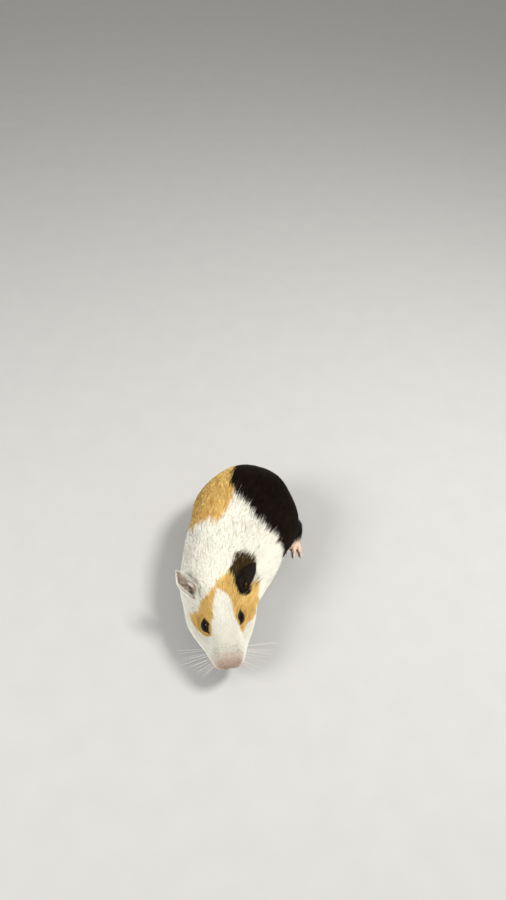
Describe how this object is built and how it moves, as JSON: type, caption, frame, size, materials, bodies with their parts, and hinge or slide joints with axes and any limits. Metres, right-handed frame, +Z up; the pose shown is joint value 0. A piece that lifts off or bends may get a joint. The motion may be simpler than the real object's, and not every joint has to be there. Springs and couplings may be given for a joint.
{
  "type": "guinea pig",
  "caption": "Still, life-size guinea pig crouching with its head turned, smooth coat in white, black and tan, resting on its feet.",
  "frame": {"origin": "on the floor under the middle of the animal's bounding box", "axes": "+Z up, the trunk along Y with the rump at +Y and the nose at -Y, the animal's left side at +X"},
  "size_m": [0.101, 0.1746, 0.0835],
  "materials": {
    "coat": "smooth short hair, white with black and tan patches",
    "bare_skin": "soft, matte, thinly haired",
    "eye": "wet gloss",
    "claw": "satin horn"
  },
  "bodies": {
    "root": {"claw_forefoot_left_inner": "claw", "claw_forefoot_left_outer": "claw", "claw_forefoot_left_second": "claw", "claw_forefoot_left_third": "claw", "claw_forefoot_right_inner": "claw", "claw_forefoot_right_outer": "claw", "claw_forefoot_right_second": "claw", "claw_forefoot_right_third": "claw", "claw_hindfoot_left_inner": "claw", "claw_hindfoot_left_middle": "claw", "claw_hindfoot_left_outer": "claw", "claw_hindfoot_right_inner": "claw", "claw_hindfoot_right_middle": "claw", "claw_hindfoot_right_outer": "claw", "ear_left": "bare_skin", "ear_right": "bare_skin", "eye_left": "eye", "eye_right": "eye", "forefoot_left": "bare_skin", "forefoot_right": "bare_skin", "foreleg_left": "coat", "foreleg_right": "coat", "head": "coat", "hindfoot_left": "bare_skin", "hindfoot_right": "bare_skin", "hindleg_left": "coat", "hindleg_right": "coat", "neck": "coat", "trunk": "coat"}
  },
  "joints": []
}
